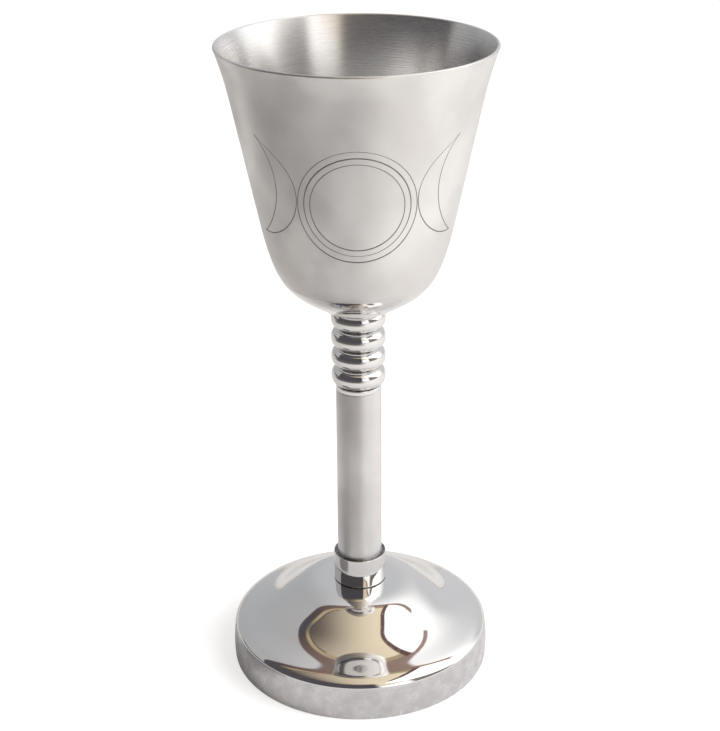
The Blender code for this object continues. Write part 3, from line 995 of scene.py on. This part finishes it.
# A zone's edge is a plane through the middle of the room; the zone is on the side that this
# direction points away from.
BORDER_NEAR = (-0.07, 1.0, -0.34)
BORDER_SIDE = (1.0, 0.0, -0.92)
CEILING_NEAR = (-0.13, 1.0, -0.22)
CEILING_SIDE = (1.0, 0.0, -0.78)
INNER_NEAR = (-0.13, 1.0, -0.14)
SEAM_NEAR = (-0.13, 1.0, -0.149)
SEAM_FAR = (0.13, -1.0, 0.132)
SEAM_SIDE = (1.0, 0.0, 0.30)
FRAME_SIDE = (-1.0, 0.0, 0.32)
FRAME_FAR = (0.0, -1.0, -0.5)
WINDOW_SIDE = (-1.0, 0.0, 0.39)
WINDOW_NEAR = (0.0, 1.0, -0.30)
WINDOW_FAR = (0.0, -1.0, -0.9)

LAMP_POWER = 7.0
LAMP_SIZE = 0.7
LAMP_PLACE = (0.65, -0.25, 0.75)

LENS = 78.5
SENSOR = 36.0
CAMERA_PITCH = 24.01                 # degrees below the horizontal
CAMERA_ROLL = -0.37
CAMERA_PLACE = (0.0004, -0.4045, 0.2721)


def sector(nodes, angle, limits, soft):
    """One where an angle is between two limits in degrees, zero outside; soft is in radians."""
    return nodes.band(angle, math.radians(limits[0]), math.radians(limits[1]), soft)


def make_floor():
    """A square floor. The camera sees pale paper on it, and every other ray a table with painted light and
    shade: lighter to the right, painted shade in front and a painted shadow beside the foot.
    """
    half = FLOOR_HALF
    mesh = bpy.data.meshes.new("floor")
    mesh.from_pydata([(-half, -half, 0), (half, -half, 0), (half, half, 0), (-half, half, 0)],
                     [], [(0, 1, 2, 3)])
    floor = placed("floor", mesh)
    floor.location.z = -TOUCH
    material = bpy.data.materials.new("floor")
    material.use_nodes = True
    nodes = Nodes(material.node_tree)
    shader = material.node_tree.nodes["Principled BSDF"]
    place = nodes.add("TexCoord").outputs["Object"]
    seen = nodes.add("LightPath").outputs["Is Camera Ray"]
    distance = nodes.vector("LENGTH", place)
    right = nodes.vector("DOT", place, (1.0, 0.0, 0.0))
    heading = nodes.math("ARCTAN2", right, nodes.vector("DOT", place, (0.0, -1.0, 0.0)))
    grain = nodes.ramp(nodes.noise(place, 800.0, 3.0, 0.7), 0.3, 0.7)
    table = nodes.mix(grain, TABLE_DARK, TABLE_LIGHT)
    table = nodes.mix(nodes.ramp(distance, *TABLE_NEAR), table, TABLE_OPEN)
    # painted light: the table lightens towards +X
    table = nodes.mix(nodes.ramp(right, *TABLE_LIT_TURN), table, TABLE_LIT_RIGHT)
    # painted shade: the table darkens in front, past its end
    front = sector(nodes, heading, TABLE_FRONT, 0.30)
    edge = nodes.math("MULTIPLY", front, nodes.ramp(distance, *TABLE_EDGE))
    table = nodes.mix(edge, table, TABLE_SHADE)
    # painted shadow: a dark patch beside the foot stands for the chalice's cast shadow on the table
    from_shadow_patch = nodes.vector("LENGTH", nodes.vector("SUBTRACT", place, SHADOW_PATCH_PLACE))
    table = nodes.mix(nodes.ramp(from_shadow_patch, *SHADOW_PATCH_FADE, SHADOW_PATCH_SHARE, 0.0), table, TABLE_SHADE)
    paper = nodes.mix(grain, PAPER_DARK, PAPER_LIGHT)
    nodes.feed(shader.inputs["Base Color"], nodes.mix(seen, table, paper))
    nodes.feed(shader.inputs["Roughness"], 0.8)
    nodes.feed(shader.inputs["Specular IOR Level"], 0.1)
    nodes.feed(shader.inputs["Emission Color"], grey(1.0))
    nodes.feed(shader.inputs["Emission Strength"], nodes.math("MULTIPLY", seen, PAPER_GLOW))
    mesh.materials.append(material)


def make_lamp():
    """A soft lamp on the right that lights the floor more on its own side."""
    data = bpy.data.lights.new("lamp", "AREA")
    data.shape = "DISK"
    data.size = LAMP_SIZE
    data.energy = LAMP_POWER
    lamp = placed("lamp", data)
    lamp.location = LAMP_PLACE
    lamp.rotation_euler = (-Vector(LAMP_PLACE)).to_track_quat("-Z", "Y").to_euler()
    lamp.visible_camera = False
    lamp.visible_glossy = False


def make_room():
    """The world: a tan ceiling with a dark border, a seam and a window, walls, a pillar, shade."""
    world = bpy.data.worlds.new("room")
    bpy.context.scene.world = world
    world.use_nodes = True
    nodes = Nodes(world.node_tree)
    place = nodes.add("TexCoord").outputs["Generated"]
    split = nodes.add("SeparateXYZ", {0: place}).outputs
    x, y, z = split[0], split[1], split[2]
    heading = nodes.math("ARCTAN2", x, nodes.math("MULTIPLY", y, -1.0))
    rise = nodes.math("ARCSINE", z)
    up = nodes.ramp(z, 0.0, 0.02)

    def side(plane, soft=0.012):
        """One on the side of a plane through the middle that its direction points away from."""
        return nodes.ramp(nodes.vector("DOT", place, plane), -soft, soft, 1.0, 0.0)

    def all_of(*masks):
        """One where every mask is one."""
        result = masks[0]
        for mask in masks[1:]:
            result = nodes.math("MULTIPLY", result, mask)
        return result

    walls = nodes.mix(nodes.ramp(x, *WALL_TURN), WALL_LEFT, WALL_RIGHT)
    far = nodes.math("MULTIPLY", nodes.ramp(y, *WALL_FADE), WALL_FAR_SHARE)
    colour = nodes.mix(far, walls, WALL_FAR)

    near_side = side(BORDER_NEAR)
    spread = nodes.math("DIVIDE", x, nodes.math("MAXIMUM", z, 0.05))
    border = nodes.mix(nodes.ramp(spread, *BORDER_TURN), BORDER, BORDER_LIT)
    colour = nodes.mix(all_of(up, near_side, side(BORDER_SIDE)), colour, border)
    colour = nodes.mix(all_of(up, side(CEILING_NEAR), side(CEILING_SIDE)), colour, CEILING)
    inner = all_of(up, side(INNER_NEAR, 0.006), side(CEILING_SIDE))
    inner_ceiling = nodes.mix(nodes.ramp(spread, *CEILING_TURN), CEILING_DIM, CEILING_LIT)
    colour = nodes.mix(inner, colour, inner_ceiling)
    seam = all_of(up, side(SEAM_NEAR, 0.003), side(SEAM_FAR, 0.003), side(SEAM_SIDE))
    colour = nodes.mix(seam, colour, BORDER)

    pillar = all_of(sector(nodes, heading, PILLAR_HEADINGS, 0.07),
                    sector(nodes, rise, PILLAR_RISES, 0.10))
    colour = nodes.mix(pillar, colour, PILLAR)
    corner = all_of(sector(nodes, heading, CORNER_HEADINGS, 0.15),
                    sector(nodes, rise, CORNER_RISES, 0.15))
    colour = nodes.mix(corner, colour, CORNER)
    low = nodes.ramp(rise, math.radians(SHADE_TOP[0]), math.radians(SHADE_TOP[1]), 1.0, 0.0)
    dark_side = sector(nodes, heading, SHADE_HEADINGS, 0.06)
    colour = nodes.mix(all_of(near_side, low, dark_side), colour, SHADE)
    colour = nodes.mix(all_of(dark_side, sector(nodes, rise, SHADE_RISES, 0.03)), colour, SHADE)

    frame_mask = all_of(up, side(FRAME_SIDE), side(WINDOW_NEAR), side(FRAME_FAR))
    colour = nodes.mix(frame_mask, colour, WINDOW_FRAME)
    window = all_of(up, side(WINDOW_SIDE), side(WINDOW_NEAR), side(WINDOW_FAR))
    colour = nodes.mix(window, colour, WINDOW)

    seen = nodes.add("LightPath").outputs["Is Camera Ray"]
    colour = nodes.mix(seen, colour, BACKDROP)
    back = world.node_tree.nodes["Background"]
    nodes.feed(back.inputs["Color"], colour)
    nodes.feed(back.inputs["Strength"], 1.0)


def make_camera():
    """A long lens that looks down at the front of the chalice."""
    data = bpy.data.cameras.new("camera")
    data.sensor_width = SENSOR
    data.lens = LENS
    data.clip_start = 0.01
    camera = placed("camera", data)
    tilt = Matrix.Rotation(math.radians(90.0 - CAMERA_PITCH), 4, "X")
    roll = Matrix.Rotation(math.radians(CAMERA_ROLL), 4, "Z")
    camera.matrix_world = Matrix.Translation(CAMERA_PLACE) @ tilt @ roll
    bpy.context.scene.camera = camera


# ---------------------------------------------------------------- build
make_camera()
make_room()
make_lamp()
make_floor()
satin = satin_steel()
polished = polished_steel()
zinc = zinc_plated_steel()
make_cup(satin, inner_steel(), groove_steel())
make_beads(polished)
make_stem(satin, polished, solder_and_shade_steel())
make_foot(polished, skirt_steel())
make_fixings(polished, zinc)
bpy.context.scene.view_settings.view_transform = "Standard"
